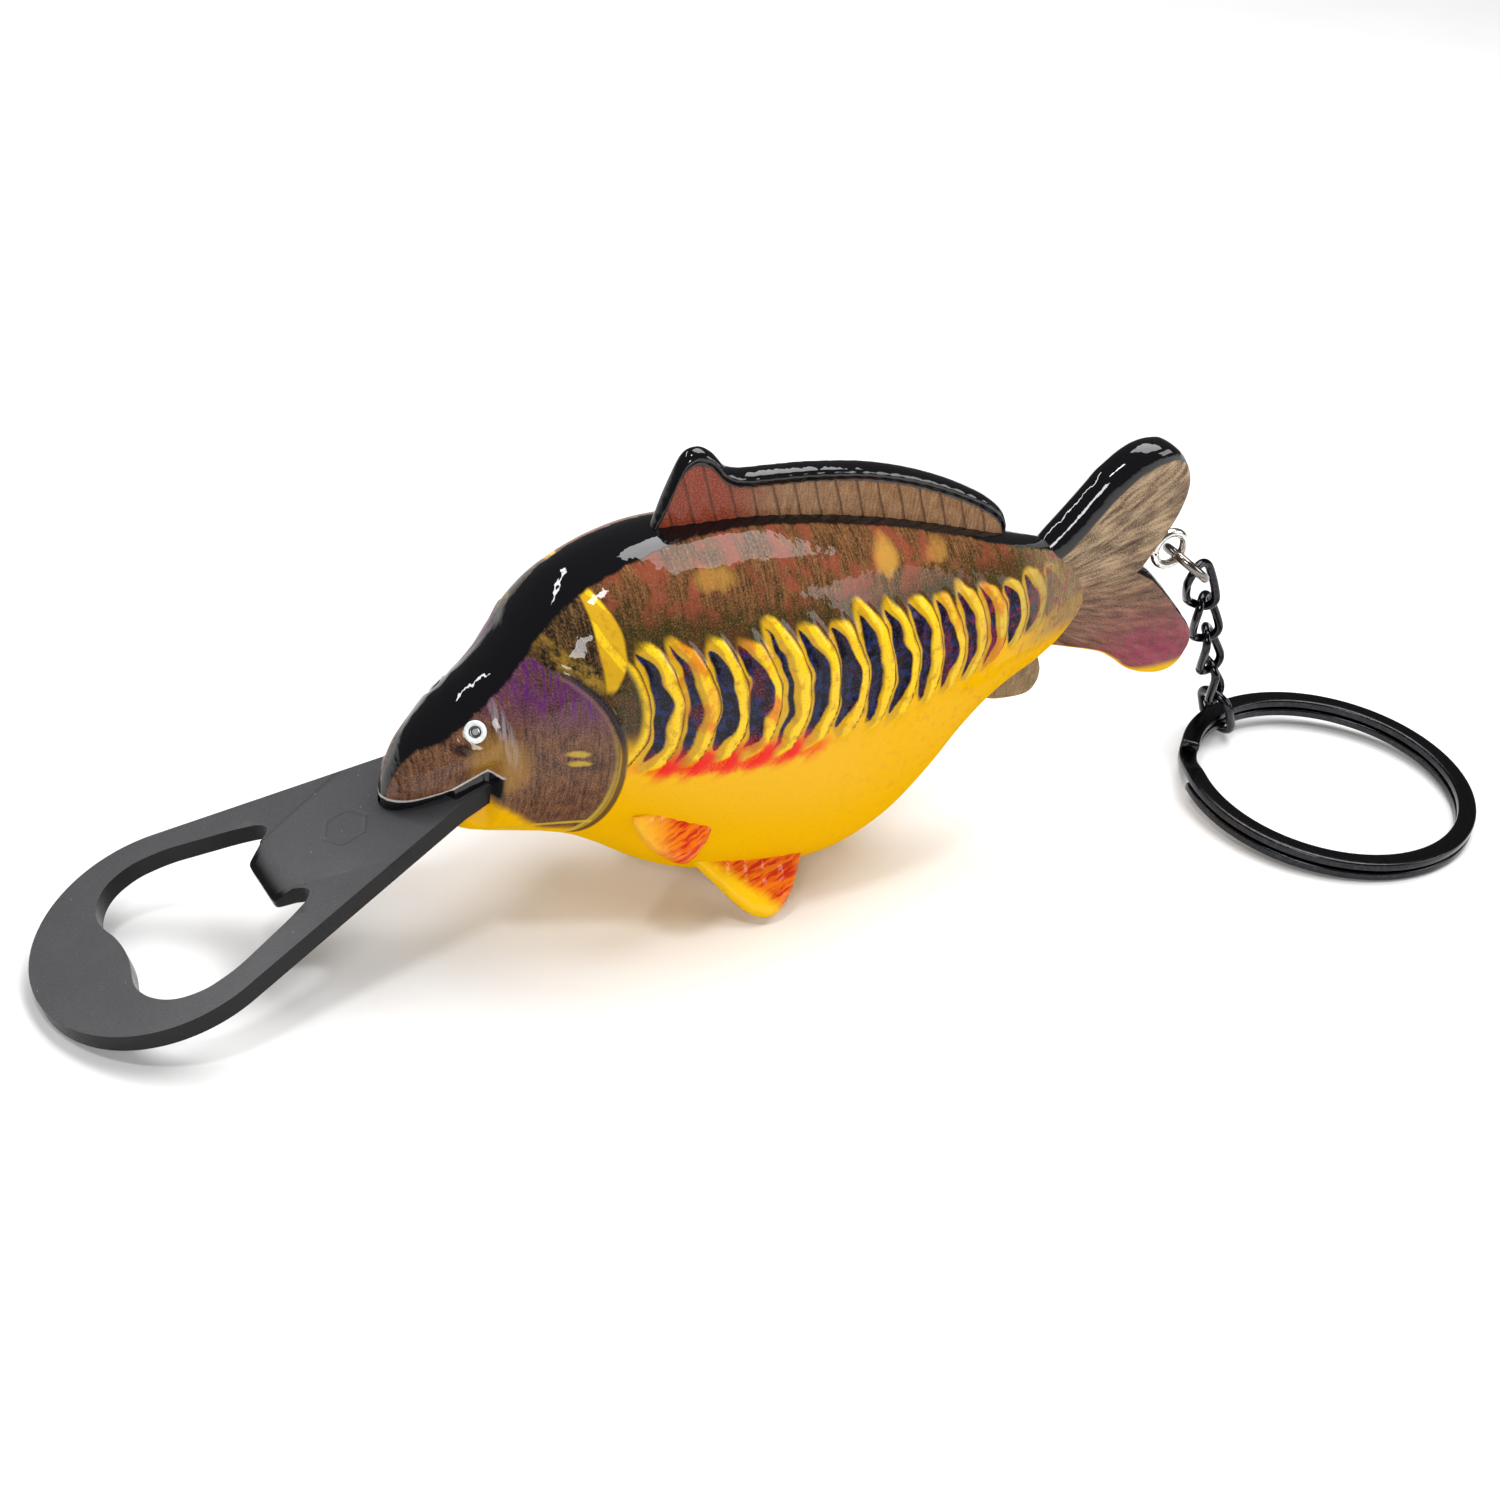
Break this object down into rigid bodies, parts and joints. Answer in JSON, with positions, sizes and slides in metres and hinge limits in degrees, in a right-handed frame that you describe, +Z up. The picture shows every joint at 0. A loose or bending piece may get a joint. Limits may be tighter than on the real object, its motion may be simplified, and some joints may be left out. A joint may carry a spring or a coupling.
{
  "type": "keyring bottle opener",
  "caption": "Carp-shaped bottle opener: a moulded fish holds a black steel cap-lifting plate in its mouth, and a short curb chain hangs from its tail with a split key ring.",
  "frame": {"origin": "on the floor under the middle of the whole object's bounding box, as it stands on the tip of its plate and its two pelvic fins", "axes": "+X from the plate's tip towards the fish's tail and key ring, +Z up; the fish's left flank faces -Y"},
  "size_m": [0.1675, 0.0418, 0.0517],
  "materials": {
    "skin": "printed carp skin under thick clear gloss",
    "plate": "black satin powder coat",
    "nickel": "bright nickel plate",
    "gunmetal": "polished gunmetal plate",
    "black_nickel": "polished black nickel plate",
    "ring": "black satin plate"
  },
  "bodies": {
    "opener": {"fish_body": "skin", "opener_plate": "plate", "tail_screw_eye": "nickel"},
    "jump": {"jump_ring": "gunmetal"},
    "link_1": {"chain_link_1": "black_nickel"},
    "link_2": {"chain_link_2": "black_nickel"},
    "link_3": {"chain_link_3": "black_nickel"},
    "link_4": {"chain_link_4": "black_nickel"},
    "end": {"end_link": "black_nickel"},
    "ring": {"split_ring": "ring"}
  },
  "joints": [
    {"name": "jump_ring_swing", "type": "hinge", "parent": "opener", "child": "jump", "pos_m": [0.04415, 0.00735, 0.031], "axis": [0, 1, 0], "range_deg": [-50, 0]},
    {"name": "link_1_swing", "type": "hinge", "parent": "jump", "child": "link_1", "pos_m": [0.04909, 0.00735, 0.02707], "axis": [0, 1, 0], "range_deg": [-40, 3]},
    {"name": "link_2_swing", "type": "hinge", "parent": "link_1", "child": "link_2", "pos_m": [0.05158, 0.00837, 0.02225], "axis": [0.6449, -0.7441, 0.1746], "range_deg": [-25, 25]},
    {"name": "link_3_swing", "type": "hinge", "parent": "link_2", "child": "link_3", "pos_m": [0.05432, 0.0095, 0.01694], "axis": [0.8233, -0.4647, 0.3261], "range_deg": [-25, 25]},
    {"name": "link_4_swing", "type": "hinge", "parent": "link_3", "child": "link_4", "pos_m": [0.05706, 0.01063, 0.01163], "axis": [0.8923, -0.1235, 0.4342], "range_deg": [-25, 25]},
    {"name": "end_link_swing", "type": "hinge", "parent": "link_4", "child": "end", "pos_m": [0.05979, 0.01176, 0.00633], "axis": [0.8428, 0.234, 0.4846], "range_deg": [-25, 25]},
    {"name": "key_ring_swing", "type": "hinge", "parent": "end", "child": "ring", "pos_m": [0.06164, 0.01252, 0.00275], "axis": [-0.9593, -0.2823, 0], "range_deg": [-25, 40]}
  ]
}
